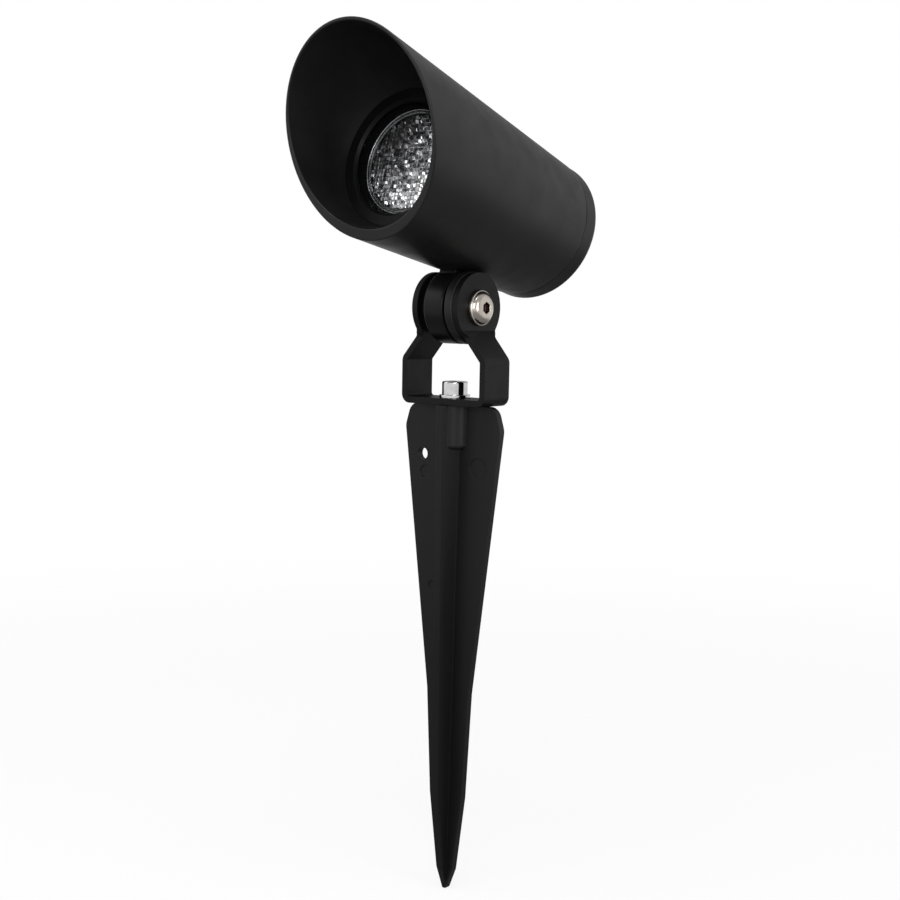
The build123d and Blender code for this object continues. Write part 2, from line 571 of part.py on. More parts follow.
def make_spike():
    half = [
        (WING_TOP_HALF_WIDTH, 0), (WING_HALF_WIDTH, -WING_SHOULDER_DEPTH), (WING_END_HALF_WIDTH, -WING_END_DEPTH),
        (CORE_END_HALF_WIDTH, -CORE_END_DEPTH), (POINT_HALF_WIDTH, -POINT_DEPTH), (TIP_HALF_WIDTH, -SPIKE_LENGTH)]
    outline = make_face(Polyline(*half, *[(-x, z) for x, z in reversed(half)], close=True))
    corners = outline.vertices().filter_by(lambda v: v.Y > -WING_SHOULDER_DEPTH - 0.01)
    outline = fillet(corners, TOP_CORNER_RADIUS)
    blade = extrude(Plane.XZ * outline, BLADE_THICKNESS / 2, both=True)

    ribs = loft([
        rib_section(0, CORE_HALF_WIDTH, RIB_ROOT_THICKNESS),
        rib_section(CORE_END_DEPTH, CORE_END_HALF_WIDTH, RIB_ROOT_END_THICKNESS),
        rib_section(POINT_DEPTH, POINT_HALF_WIDTH, BLADE_THICKNESS),
        rib_section(SPIKE_LENGTH, TIP_HALF_WIDTH, 2 * TIP_HALF_WIDTH)], ruled=True)

    boss = rod(BOSS_DIAMETER, -BOSS_DEPTH, 0)
    boss = fillet(boss.edges().group_by(Axis.Z)[0], BOSS_EDGE_RADIUS)
    spike = blade + ribs + boss

    spike -= rod(INSERT_DIAMETER + 2 * SEAT_GAP, -INSERT_LENGTH, 0)
    spike -= rod(BASE_SCREW_DIAMETER + 2 * FREE_GAP, -BASE_SCREW_LENGTH, 0)
    tie_hole = Rot(90, 0, 0) * rod(TIE_HOLE_DIAMETER, -BLADE_THICKNESS, BLADE_THICKNESS)
    spike -= Pos(-TIE_HOLE_OFFSET, 0, -TIE_HOLE_DEPTH) * tie_hole
    for x, depth, diameter in MOULD_MARKS:
        mark = Rot(90, 0, 0) * rod(diameter, BLADE_THICKNESS / 2 - MARK_DEPTH, BLADE_THICKNESS)
        spike -= Pos(x, 0, -depth) * mark
    return spike


# ---------------------------------------------------------------- build

os.makedirs("parts", exist_ok=True)

save("housing", TUBE_FRAME * make_housing())
save("rear_cover", TUBE_FRAME * make_rear_cover())
save("rear_seal", TUBE_FRAME * make_rear_seal())
save("cable_grommet", TUBE_FRAME * make_grommet())
save("bezel", TUBE_FRAME * make_bezel())
save("front_glass", TUBE_FRAME * make_glass())
save("glass_gasket", TUBE_FRAME * make_gasket())

save("lamp_body", TUBE_FRAME * make_lamp_body())
save("lamp_lens", TUBE_FRAME * make_lamp_lens())
save("lamp_pins", *[TUBE_FRAME * pin for pin in make_lamp_pins()])
save("lamp_holder", TUBE_FRAME * make_lamp_holder())
save("holder_bridge", TUBE_FRAME * make_holder_bridge())
bridge_screw = small_screw(HOLDER_BACK, SMALL_SCREW_LENGTH)
holder_screw = small_screw(HOLDER_FRONT - HOLDER_SCREW_RECESS, HOLDER_THICKNESS)
save("bridge_screws", *[TUBE_FRAME * screw for screw in pair(bridge_screw, BRIDGE_SCREW_SPACING, (1, 0, 0))])
save("holder_screws", *[TUBE_FRAME * screw for screw in pair(holder_screw, HOLDER_SCREW_SPACING, (1, 0, 0))])
save("terminal_block", TUBE_FRAME * make_terminal_block())
save("holder_leads", *[TUBE_FRAME * lead for lead in make_holder_leads()])

save("knuckle", PIVOT_FRAME * make_knuckle())
save("knuckle_disc", PIVOT_FRAME * make_knuckle_disc())
save("knuckle_screws", *[TUBE_FRAME * station * countersunk_screw(0) for station in knuckle_screw_stations()])

save("bracket", make_bracket())
save("friction_washer", Pos(0, 0, PIVOT_HEIGHT) * make_friction_washer())
save("pivot_bolt", make_pivot_bolt())
save("pivot_nut", make_pivot_nut())

save("base_screw", make_base_screw())
save("base_washer", make_base_washer())
save("spike_insert", make_spike_insert())
save("spike", make_spike())
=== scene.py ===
import math
import random

import bmesh
import bpy
from mathutils import Matrix, Vector


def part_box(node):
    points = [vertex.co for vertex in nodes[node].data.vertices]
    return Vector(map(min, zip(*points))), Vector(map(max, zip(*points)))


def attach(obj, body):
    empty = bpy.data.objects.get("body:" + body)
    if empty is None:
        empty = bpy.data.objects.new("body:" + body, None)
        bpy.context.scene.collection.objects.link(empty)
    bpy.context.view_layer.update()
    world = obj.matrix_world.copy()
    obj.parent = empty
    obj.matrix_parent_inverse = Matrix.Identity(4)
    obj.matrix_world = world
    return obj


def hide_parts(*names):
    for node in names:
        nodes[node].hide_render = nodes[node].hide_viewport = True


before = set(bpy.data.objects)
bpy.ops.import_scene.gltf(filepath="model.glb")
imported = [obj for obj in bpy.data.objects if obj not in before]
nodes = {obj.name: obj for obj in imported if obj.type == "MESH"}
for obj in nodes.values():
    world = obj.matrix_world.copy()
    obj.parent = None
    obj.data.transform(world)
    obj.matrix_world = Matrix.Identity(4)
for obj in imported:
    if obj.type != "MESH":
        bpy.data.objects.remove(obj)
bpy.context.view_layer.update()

# Lengths are in mm, and are turned into the scene's metres with MM.
MM = 0.001
FULL_TURN = 2 * math.pi

# ---------------------------------------------------------------- the tilted tube

REST_TILT = math.radians(15)
PIVOT_HEIGHT = 37.5
TUBE_ABOVE_PIVOT = 43.8
FORWARD = Vector((0, -math.cos(REST_TILT), math.sin(REST_TILT)))
UPWARD = Vector((0, math.sin(REST_TILT), math.cos(REST_TILT)))
TUBE_CENTRE = Vector((0, 0, PIVOT_HEIGHT)) * MM + UPWARD * TUBE_ABOVE_PIVOT * MM

# Stations are measured along the tube's line, ahead of its centre.
TUBE_REAR_DIAMETER = 57.4
TUBE_MOUTH_DIAMETER = 72.4
TUBE_LENGTH = 124.2
TUBE_REAR_STATION = -34.5
TUBE_REAR_RADIUS = TUBE_REAR_DIAMETER / 2
TUBE_TAPER = (TUBE_MOUTH_DIAMETER - TUBE_REAR_DIAMETER) / 2 / TUBE_LENGTH


def in_tube(x, height, station):
    """The point that far to the right, above and ahead of the tube's centre."""
    return (TUBE_CENTRE + Vector((x, 0, 0)) * MM
            + UPWARD * (height * MM) + FORWARD * (station * MM))


def off_axis(point):
    """How far a point lies out from the tube's line, as a vector, and its station."""
    arm = (point - TUBE_CENTRE) / MM
    station = arm.dot(FORWARD)
    return arm - FORWARD * station, station


# ---------------------------------------------------------------- nodes

WHITE = (1, 1, 1, 1)
MIX_A, MIX_B, MIX_RESULT = 6, 7, 2      # the colour sockets of a Mix node


def add_node(tree, kind, inputs=None, **settings):
    """A new node. Each input, by name or place, is linked to a socket or set to a value."""
    made = tree.nodes.new(kind)
    for key, value in settings.items():
        setattr(made, key, value)
    for key, value in (inputs or {}).items():
        if isinstance(value, bpy.types.NodeSocket):
            tree.links.new(value, made.inputs[key])
        else:
            made.inputs[key].default_value = value
    return made


def add_math(tree, operation, a, b):
    return add_node(tree, "ShaderNodeMath", {0: a, 1: b}, operation=operation).outputs[0]


def add_ramp(tree, value, low, high, out_low, out_high, **settings):
    """The value's way from low to high, as a way from out_low to out_high."""
    return add_node(tree, "ShaderNodeMapRange", {
        "Value": value, "From Min": low, "From Max": high,
        "To Min": out_low, "To Max": out_high}, **settings).outputs[0]


def add_color_mix(tree, factor, a, b):
    made = add_node(tree, "ShaderNodeMix", {0: factor}, data_type="RGBA")
    made.inputs[MIX_A].default_value = (*a, 1)
    made.inputs[MIX_B].default_value = (*b, 1)
    return made.outputs[MIX_RESULT]


# ---------------------------------------------------------------- materials

NOISE_SPAN = (0.3, 0.7)                 # between these a noise texture has most of its values
BEVEL_SAMPLES = 6


class Material:
    """A principled material, and short names for the nodes that vary it over the surface."""

    def __init__(self, name, color, metallic=0.0, **sockets):
        self.mat = bpy.data.materials.new(name)
        self.mat.use_nodes = True
        self.tree = self.mat.node_tree
        self.bsdf = self.tree.nodes["Principled BSDF"]
        self.bsdf.inputs["Base Color"].default_value = (*color, 1)
        self.bsdf.inputs["Metallic"].default_value = metallic
        for key, value in sockets.items():
            self.bsdf.inputs[key.replace("_", " ")].default_value = value
        self.coords = self.tree.nodes.new("ShaderNodeTexCoord").outputs["Object"]
        self.last_normal = None

    def mapped(self, scale):
        return add_node(
            self.tree, "ShaderNodeMapping", {"Vector": self.coords, "Scale": scale}).outputs[0]

    def noise(self, scale, detail, vector=None):
        return add_node(self.tree, "ShaderNodeTexNoise", {
            "Vector": vector or self.coords, "Scale": scale, "Detail": detail}).outputs["Fac"]

    def ramp(self, value, low, high, out_low, out_high):
        return add_ramp(self.tree, value, low, high, out_low, out_high)

    def color(self, factor, a, b):
        self.tree.links.new(add_color_mix(self.tree, factor, a, b), self.bsdf.inputs["Base Color"])

    def color_by(self, noise, dark, light, span=NOISE_SPAN):
        """Colour from dark to light where the noise goes through its span."""
        self.color(self.ramp(noise, *span, 0, 1), dark, light)

    def rough_by(self, noise, low, high, span=NOISE_SPAN):
        """Roughness from low to high where the noise goes through its span."""
        self.tree.links.new(self.ramp(noise, *span, low, high), self.bsdf.inputs["Roughness"])

    def soft_edges(self, radius_mm):
        """Rounds what would be a knife edge, so that it catches the light."""
        self.last_normal = add_node(self.tree, "ShaderNodeBevel", {
            "Radius": radius_mm * MM}, samples=BEVEL_SAMPLES).outputs[0]
        self.tree.links.new(self.last_normal, self.bsdf.inputs["Normal"])

    def bump(self, height, depth_mm, strength):
        inputs = {"Height": height, "Distance": depth_mm * MM, "Strength": strength}
        if self.last_normal:
            inputs["Normal"] = self.last_normal
        self.last_normal = add_node(self.tree, "ShaderNodeBump", inputs).outputs[0]
        self.tree.links.new(self.last_normal, self.bsdf.inputs["Normal"])


# Scales of the noise textures, in cells per metre, and depths of the finest relief.
COAT_PATCHES, COAT_FILM, COAT_PEEL = 38, 120, 2600
COAT_PATCH_SPAN, PEEL_DEPTH = (0.35, 0.7), 0.006
PLASTIC_FLOW, PLASTIC_SHEEN, PLASTIC_GRAIN = 60, 90, 1800
PLASTIC_FLOW_SPAN, PLASTIC_SHEEN_SPREAD = (0.3, 0.72), 0.08
METAL_STAINS, METAL_LAY, METAL_EDGE = 260, 1500, 0.25
METAL_SMOOTHER, METAL_ROUGHER = 0.7, 1.4
RUBBER_BLOOM, RUBBER_SHEEN, RUBBER_GRAIN, RUBBER_DEPTH = 200, 500, 2400, 0.01
BOWL_SHEEN = 400
WINDOW_SMEARS, WINDOW_SMEAR_SPAN = 90, (0.4, 0.8)
LENS_CLOUDS, LENS_CLOUD_SPAN, LENS_SHEEN = 150, (0.3, 0.65), 420

BOWL_ALUMINIUM, FRONT_RIM_BLACK = (0.78, 0.79, 0.8), (0.003, 0.003, 0.003)
FRONT_RIM_STATION, FRONT_RIM_FADE = 37.6, 0.1


def powder_coat(name, dark, light, low_rough, high_rough, edge_mm=0.35, shine=0.26):
    """Satin black powder coat: fine orange peel, faint patches of duller film."""
    m = Material(name, dark, Specular_IOR_Level=shine)
    m.color_by(m.noise(COAT_PATCHES, detail=3), dark, light, COAT_PATCH_SPAN)
    m.rough_by(m.noise(COAT_FILM, detail=3), low_rough, high_rough)
    m.soft_edges(edge_mm)
    m.bump(m.noise(COAT_PEEL, detail=2), PEEL_DEPTH, strength=0.5)
    return m.mat


def moulded_plastic(name, dark, light, rough, grain_mm=0.01, edge_mm=0.3, stretch=(1, 1, 1),
                    shine=0.4):
    """Moulded plastic: faint flow marks, fine grain, slightly uneven sheen."""
    m = Material(name, dark, Specular_IOR_Level=shine)
    along_flow = m.mapped(stretch)
    m.color_by(m.noise(PLASTIC_FLOW, detail=4, vector=along_flow),
               dark, light, PLASTIC_FLOW_SPAN)
    m.rough_by(m.noise(PLASTIC_SHEEN, detail=3, vector=along_flow),
               rough - PLASTIC_SHEEN_SPREAD, rough + PLASTIC_SHEEN_SPREAD)
    m.soft_edges(edge_mm)
    m.bump(m.noise(PLASTIC_GRAIN, detail=3), grain_mm, strength=0.6)
    return m.mat


def bright_metal(name, dark, light, rough, grain=(1, 1, 1), grain_mm=0.004):
    """Machined or plated metal: fine lay from the tool, small stains."""
    m = Material(name, dark, metallic=1.0)
    m.color_by(m.noise(METAL_STAINS, detail=4), dark, light)
    lay = m.noise(METAL_LAY, detail=3, vector=m.mapped(grain))
    m.rough_by(lay, rough * METAL_SMOOTHER, rough * METAL_ROUGHER)
    m.soft_edges(METAL_EDGE)
    m.bump(lay, grain_mm, strength=0.4)
    return m.mat


def soft_rubber(name, dark, light):
    """Dull rubber: faint bloom, uneven sheen, fine grain."""
    m = Material(name, dark)
    m.color_by(m.noise(RUBBER_BLOOM, detail=3), dark, light)
    m.rough_by(m.noise(RUBBER_SHEEN, detail=2), low=0.6, high=0.8)
    m.bump(m.noise(RUBBER_GRAIN, detail=2), RUBBER_DEPTH, strength=0.5)
    return m.mat


def rimmed_bowl():
    """The lamp's aluminium bowl. Its front rim is black, so that only the lens shines."""
    m = Material("lamp_bowl_aluminium", BOWL_ALUMINIUM, metallic=1.0, Specular_IOR_Level=0.04)
    along = add_node(m.tree, "ShaderNodeVectorMath", {0: m.coords, 1: tuple(FORWARD)},
                     operation="DOT_PRODUCT").outputs["Value"]
    centre = TUBE_CENTRE.dot(FORWARD)
    front_rim_share = m.ramp(along, centre + (FRONT_RIM_STATION - FRONT_RIM_FADE) * MM,
                     centre + FRONT_RIM_STATION * MM, 0, 1)
    m.color(front_rim_share, BOWL_ALUMINIUM, FRONT_RIM_BLACK)
    m.tree.links.new(m.ramp(front_rim_share, 0, 1, 1, 0), m.bsdf.inputs["Metallic"])
    m.rough_by(m.noise(BOWL_SHEEN, detail=3), low=0.22, high=0.4)
    m.soft_edges(METAL_EDGE)
    return m.mat


def window_glass():
    """Clear flat glass with faint smears."""
    m = Material("clear_window", (0.03, 0.035, 0.035), IOR=1.45, Alpha=0.05)
    m.rough_by(m.noise(WINDOW_SMEARS, detail=4), low=0.02, high=0.09, span=WINDOW_SMEAR_SPAN)
    return m.mat


def lens_glass(name, dark, light, low_rough, high_rough):
    """Moulded glass over the lamp's bright bowl."""
    m = Material(name, light, metallic=0.88, Coat_Weight=0.6, Coat_Roughness=0.05)
    m.color_by(m.noise(LENS_CLOUDS, detail=3), dark, light, LENS_CLOUD_SPAN)
    m.rough_by(m.noise(LENS_SHEEN, detail=2), low_rough, high_rough)
    return m.mat


# a lighter copy of the same black coat, painted light, for the housing, its cover and the knuckle
# disc
PAINTED_LIGHTER_COAT = powder_coat(
    "satin_black_coat_painted_lighter", (0.0065, 0.0065, 0.0067), (0.0105, 0.0105, 0.0108), 0.36, 0.46)
COAT_TURNED = powder_coat(
    "satin_black_turned", (0.0035, 0.0035, 0.0037), (0.0055, 0.0055, 0.0058), 0.26, 0.34,
    edge_mm=0.55, shine=0.17)
COAT_BRACKET = powder_coat(
    "satin_black_bracket", (0.004, 0.004, 0.0042), (0.0065, 0.0065, 0.0068), 0.38, 0.5,
    edge_mm=0.3, shine=0.14)
RING_BLACK = moulded_plastic(
    "black_ring_plastic", (0.002, 0.002, 0.002), (0.003, 0.003, 0.003), 0.42,
    grain_mm=0.004, shine=0.1)
WASHER_BLACK = moulded_plastic(
    "black_washer_plastic", (0.002, 0.002, 0.002), (0.003, 0.003, 0.003), 0.55, shine=0.1)
SPIKE_BLACK = moulded_plastic(
    "black_spike_plastic", (0.006, 0.006, 0.0062), (0.0095, 0.0095, 0.0098), 0.4,
    grain_mm=0.012, edge_mm=0.35, stretch=(1, 1, 0.12), shine=0.2)
STEEL_WARM = bright_metal(
    "turned_stainless", (0.4, 0.36, 0.32), (0.56, 0.52, 0.47), 0.2, (1, 0.2, 0.2), 0.002)
# darker steel for the bolt's hex socket: painted shade in the recess
SOCKET_STEEL_PAINTED_SHADE = bright_metal(
    "socket_stainless_painted_shade", (0.07, 0.055, 0.045), (0.13, 0.105, 0.09), 0.3)
STEEL_BRIGHT = bright_metal(
    "bright_stainless", (0.5, 0.5, 0.5), (0.66, 0.66, 0.66), 0.1, (1, 1, 0.1), 0.002)
ZINC = bright_metal("zinc_plate", (0.5, 0.51, 0.53), (0.66, 0.67, 0.7), 0.34)
BRASS = bright_metal("turned_brass", (0.5, 0.35, 0.12), (0.66, 0.48, 0.2), 0.25, (0.2, 0.2, 1))
NICKEL = bright_metal("nickel_pin", (0.6, 0.58, 0.54), (0.72, 0.7, 0.66), 0.15, (0.2, 0.2, 1))
BOWL = rimmed_bowl()
CERAMIC = moulded_plastic("glazed_ceramic", (0.68, 0.65, 0.58), (0.78, 0.75, 0.69), 0.25, 0.006)
TERMINAL = moulded_plastic(
    "terminal_plastic", (0.66, 0.66, 0.63), (0.74, 0.74, 0.71), 0.4, 0.008)
SLEEVE = soft_rubber("lead_sleeve", (0.2, 0.05, 0.03), (0.26, 0.08, 0.05))
RUBBER = soft_rubber("black_rubber", (0.008, 0.008, 0.008), (0.014, 0.014, 0.014))
WINDOW = window_glass()
# the lens's rim and one fine step get the lighter glass, a painted highlight; the other steps get
# the darker copy, painted shade
LENS_RIM = lens_glass("lens_rim_glass", (0.3, 0.3, 0.31), (0.5, 0.5, 0.52), 0.15, 0.3)
LENS_STEP = lens_glass("lens_step_glass_painted_shade", (0.03, 0.03, 0.032), (0.07, 0.07, 0.073), 0.15, 0.3)
# copies of one glass, from painted shade to painted highlight, which the prisms show by their place
LENS_FACETS_PAINTED_LIGHT = [
    lens_glass("lens_facet_painted_shade", (0.05, 0.05, 0.052), (0.13, 0.13, 0.135), 0.08, 0.2),
    lens_glass("lens_facet_painted_half_light", (0.17, 0.17, 0.175), (0.3, 0.3, 0.31), 0.08, 0.2),
    lens_glass("lens_facet_painted_light", (0.42, 0.42, 0.43), (0.62, 0.62, 0.64), 0.06, 0.16),
    lens_glass("lens_facet_painted_highlight", (0.82, 0.83, 0.85), (0.95, 0.96, 0.97), 0.05, 0.12),
]

# the housing, rear cover and knuckle disc take the coat painted lighter, as painted light
FINISHES = {
    "housing": PAINTED_LIGHTER_COAT, "rear_cover": PAINTED_LIGHTER_COAT, "knuckle_disc": PAINTED_LIGHTER_COAT,
    "knuckle": COAT_TURNED, "bracket": COAT_BRACKET,
    "bezel": RING_BLACK, "friction_washer": WASHER_BLACK, "spike": SPIKE_BLACK,
    "pivot_bolt": STEEL_WARM, "pivot_nut": STEEL_WARM, "knuckle_screws": STEEL_WARM,
    "base_screw": STEEL_BRIGHT, "base_washer": STEEL_BRIGHT, "spike_insert": BRASS,
    "front_glass": WINDOW,
    "glass_gasket": RUBBER, "rear_seal": RUBBER, "cable_grommet": RUBBER,
    "lamp_body": BOWL, "lamp_lens": LENS_RIM, "lamp_pins": NICKEL, "lamp_holder": CERAMIC,
    "holder_bridge": ZINC, "holder_screws": ZINC, "bridge_screws": ZINC,
    "terminal_block": TERMINAL, "holder_leads": SLEEVE,
}
for name, node in nodes.items():
    node.data.materials.clear()
    node.data.materials.append(FINISHES[name])

# ---------------------------------------------------------------- meshes made of rings


def new_piece(name, bm, material, smooth=False):
    mesh = bpy.data.meshes.new(name)
    bm.to_mesh(mesh)
    bm.free()
    for face in mesh.polygons:
        face.use_smooth = smooth
    mesh.materials.append(material)
    piece = bpy.data.objects.new(name, mesh)
    bpy.context.scene.collection.objects.link(piece)
    return piece


def new_ring(bm, count, place):
    """A ring of vertices, each where place puts its angle."""
    return [bm.verts.new(place(FULL_TURN * i / count)) for i in range(count)]


def tube_ring(bm, count, radius, station):
    """A round ring about the tube's line."""
    return new_ring(bm, count, lambda angle: in_tube(
        radius * math.cos(angle), radius * math.sin(angle), station))


def pivot_ring(bm, count, x, radius_at):
    """A ring about the pivot's line. Its radius may change with the angle."""
    return new_ring(bm, count, lambda angle: Vector((
        x, radius_at(angle) * math.cos(angle),
        PIVOT_HEIGHT + radius_at(angle) * math.sin(angle))) * MM)


def skin(bm, a, b):
    """The faces between a ring, or a single vertex, and the next ring."""
    faces = []
    for i in range(len(b)):
        j = (i + 1) % len(b)
        corners = (a[0], b[j], b[i]) if len(a) == 1 else (a[i], a[j], b[j], b[i])
        faces.append(bm.faces.new(corners))
    return faces


# ---------------------------------------------------------------- lens: bead, steps, square prisms

LENS_TURNS = 144
LENS_FACE = 42.6
LENS_DEPTH = 2.4
LENS_RADIUS = 20.2
BEAD_HALF_WIDTH = 0.25
BEAD_HEIGHT = 0.3
BEAD_STEP_DEGREES = 15
FIELD_RADIUS = 18.2
FIELD_FACE = 42.0
# radius and station of each of the fine steps between the bead and the field
LENS_STEPS = [(19.6, 41.9), (19.3, 41.9), (19.15, 42.1), (19.0, 42.1), (18.85, 41.9),
              (18.4, 41.9), (FIELD_RADIUS, FIELD_FACE)]
# the chosen step keeps the rim's lighter glass as a painted highlight
PAINTED_HIGHLIGHT_STEP = 2                         # which of the fine steps catches the light

PRISM_SEED = 7
PRISM = 1.55
PRISM_OVERHANG = 0.2                    # how much of a prism has to lie inside the field's edge
PRISM_RISE = 0.32
PRISM_TOPS = (0.26, 0.36)               # half the width of its top, as a share of a prism
PRISM_TILT = 0.22
SIDE_CHANGES = (-1, -1, 0, 0, 1)        # a side's glass, set against its top's
MERGE_METRES = 1e-6

# Painted light on the prisms, as their brightness: middle, rise and extra rise from painted shade
# to painted highlight, and spread.
PAINTED_LIGHT_WAY = (0.654, -0.756)
LEVEL_MIDDLE, LEVEL_RISE, LEVEL_SPREAD = 0.5, 0.024, 0.18
LEVEL_EXTRA_FROM, LEVEL_EXTRA_RISE = 5.0, 0.05
GLASS_LEVELS = (0.28, 0.5, 0.72)        # where the next brighter glass begins
# loose groups of painted highlights on the prisms: x, height, reach
PAINTED_HIGHLIGHT_GROUPS = [(6.0, 14.0, 3.4), (3.5, 5.5, 3.8), (-8.0, 3.5, 2.6)]
PAINTED_HIGHLIGHT_LIFTS = (0.0, 0.3, 0.55)


def lens_rings():
    """The lens from its back to its front: flat back, round bead at the rim, fine steps."""
    angles = [math.radians(d) for d in range(0, 181, BEAD_STEP_DEGREES)]
    bead = [(LENS_RADIUS - BEAD_HALF_WIDTH + BEAD_HALF_WIDTH * math.cos(a),
             LENS_FACE - BEAD_HEIGHT + BEAD_HEIGHT * math.sin(a)) for a in angles]
    back = LENS_FACE - LENS_DEPTH
    profile = [(LENS_RADIUS, back)] + bead + LENS_STEPS
    bm = bmesh.new()
    rings = [[bm.verts.new(in_tube(0, 0, back))]]
    rings += [tube_ring(bm, LENS_TURNS, radius, station) for radius, station in profile]
    first_step = len(rings) - len(LENS_STEPS)
    # all fine steps but one get the darker glass, painted shade
    for k, (a, b) in enumerate(zip(rings, rings[1:])):
        shaded_step = k + 1 >= first_step and k != first_step + PAINTED_HIGHLIGHT_STEP
        for face in skin(bm, a, b):
            face.material_index = int(shaded_step)
    bmesh.ops.recalc_face_normals(bm, faces=bm.faces)
    piece = new_piece("lens_rings", bm, LENS_RIM, smooth=True)
    piece.data.materials.append(LENS_STEP)
    return piece


def prism_painted_light(rng, x, y):
    """Which glass a prism shows, as painted light: from painted shade at the upper left to
    painted highlights at the lower right, and more painted highlights in a few loose groups."""
    along = PAINTED_LIGHT_WAY[0] * x + PAINTED_LIGHT_WAY[1] * y
    level = (LEVEL_MIDDLE + LEVEL_RISE * along
             + max(0.0, along - LEVEL_EXTRA_FROM) * LEVEL_EXTRA_RISE + rng.gauss(0, LEVEL_SPREAD))
    for group_x, group_y, reach in PAINTED_HIGHLIGHT_GROUPS:
        if math.hypot(x - group_x, y - group_y) < reach:
            level += rng.choice(PAINTED_HIGHLIGHT_LIFTS)
    return sum(level >= start for start in GLASS_LEVELS)


def lens_prisms():
    """Square prisms side by side, each a low block with sloping sides and a top of its own tilt."""
    rng = random.Random(PRISM_SEED)
    bm = bmesh.new()
    half = PRISM / 2
    count = int(FIELD_RADIUS / PRISM) + 2
    for ix in range(-count, count + 1):
        for iy in range(-count, count + 1):
            x, y = ix * PRISM, iy * PRISM
            if math.hypot(x, y) > FIELD_RADIUS - PRISM_OVERHANG * PRISM:
                continue
            top = PRISM * rng.uniform(*PRISM_TOPS)
            tilt_x = rng.uniform(-PRISM_TILT, PRISM_TILT)
            tilt_y = rng.uniform(-PRISM_TILT, PRISM_TILT)
            foot, crown = [], []
            for sx, sy in ((-1, -1), (1, -1), (1, 1), (-1, 1)):
                foot.append(bm.verts.new(in_tube(x + sx * half, y + sy * half, FIELD_FACE)))
                rise = PRISM_RISE + top * (sx * tilt_x + sy * tilt_y)
                crown.append(bm.verts.new(in_tube(x + sx * top, y + sy * top, FIELD_FACE + rise)))
            # the top's glass is painted light, chosen by the prism's place
            glass = prism_painted_light(rng, x, y)
            bm.faces.new(crown).material_index = glass
            for side in skin(bm, foot, crown):
                # each side's glass is painted light, shifted at random from its top's
                changed = glass + rng.choice(SIDE_CHANGES)
                side.material_index = min(len(LENS_FACETS_PAINTED_LIGHT) - 1, max(0, changed))
    bmesh.ops.remove_doubles(bm, verts=bm.verts, dist=MERGE_METRES)
    bmesh.ops.recalc_face_normals(bm, faces=bm.faces)
    piece = new_piece("lens_prisms", bm, LENS_FACETS_PAINTED_LIGHT[0])
    for glass in LENS_FACETS_PAINTED_LIGHT[1:]:
        piece.data.materials.append(glass)
    return piece


rings = lens_rings()
prisms = lens_prisms()
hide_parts("lamp_lens")
for piece in (rings, prisms):
    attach(piece, "head")

# ---------------------------------------------------------------- pivot bolt

BOLT_TURNS = 96
# outline from the shank's end to the dome's foot: distance along X, radius
BOLT_OUTLINE = [(-15.0, 3.4), (-14.4, 4.0), (11.0, 4.0), (11.0, 6.75), (11.12, 6.9),
                (11.5, 6.95), (12.3, 6.85), (12.5, 6.75), (12.6, 6.55), (12.58, 6.4)]
DOME_FOOT, DOME_TOP = 12.52, 14.7
DOME_EDGE, DOME_FLAT = 6.35, 2.7
DOME_STEPS, DOME_SHAPE = 8, 1.15
SOCKET_WIDTH, SOCKET_DEPTH, SOCKET_CHAMFER = 4.0, 2.0, 0.12
BOLT_SHARP = math.radians(38)


def hexagon(angle):
    """Radius of the socket's hexagon at an angle."""
    return SOCKET_WIDTH / 2 / math.cos((angle + math.pi / 6) % (math.pi / 3) - math.pi / 6)


def bolt_piece():
    """Button head bolt: a thin rim, a low dome and a hex socket, its walls and floor in darker
    steel as painted shade.
    """
    outline = list(BOLT_OUTLINE)
    for step in range(1, DOME_STEPS + 1):
        a = math.radians(90 * step / DOME_STEPS)
        outline.append((DOME_FOOT + (DOME_TOP - DOME_FOOT) * math.sin(a) ** DOME_SHAPE,
                        DOME_FLAT + (DOME_EDGE - DOME_FLAT) * math.cos(a)))
    bm = bmesh.new()
    rings = [pivot_ring(bm, BOLT_TURNS, x, lambda angle, radius=radius: radius)
             for x, radius in outline]
    rings.append(pivot_ring(bm, BOLT_TURNS, DOME_TOP, lambda a: hexagon(a) + SOCKET_CHAMFER))
    rings.append(pivot_ring(bm, BOLT_TURNS, DOME_TOP - SOCKET_CHAMFER, hexagon))
    rings.append(pivot_ring(bm, BOLT_TURNS, DOME_TOP - SOCKET_DEPTH, hexagon))
    # the socket's walls and floor take the darker steel, painted shade
    for a, b in zip(rings, rings[1:]):
        for face in skin(bm, a, b):
            face.material_index = int(b is rings[-1])
    bm.faces.new(rings[0])
    bm.faces.new(rings[-1]).material_index = 1
    bmesh.ops.recalc_face_normals(bm, faces=bm.faces)
    piece = new_piece("pivot_bolt_turned", bm, STEEL_WARM, smooth=True)
    piece.data.materials.append(SOCKET_STEEL_PAINTED_SHADE)
    piece.data.set_sharp_from_angle(angle=BOLT_SHARP)
    return piece


# ---------------------------------------------------------------- housing and rear cover

COVER_INSET, COVER_DEPTH, COVER_ROUND = 0.25, 9.2, 2.6
COVER_OUTSIDE = TUBE_REAR_RADIUS - COVER_INSET
COVER_BACK = TUBE_REAR_STATION - COVER_DEPTH
COVER_SHARP = math.radians(30)
GROOVE_TURNS = 180
GROOVE_DEPTH = 0.8
GROOVE_WIDTH = 0.9
GROOVE_OVERCUT = 0.6
# how near a face has to be to count as part of the cover's rim or the tube's taper
RIM_REACH, RIM_SLOPE = 0.1, 0.02
TAPER_REACH, TAPER_FACING = 0.04, 0.97


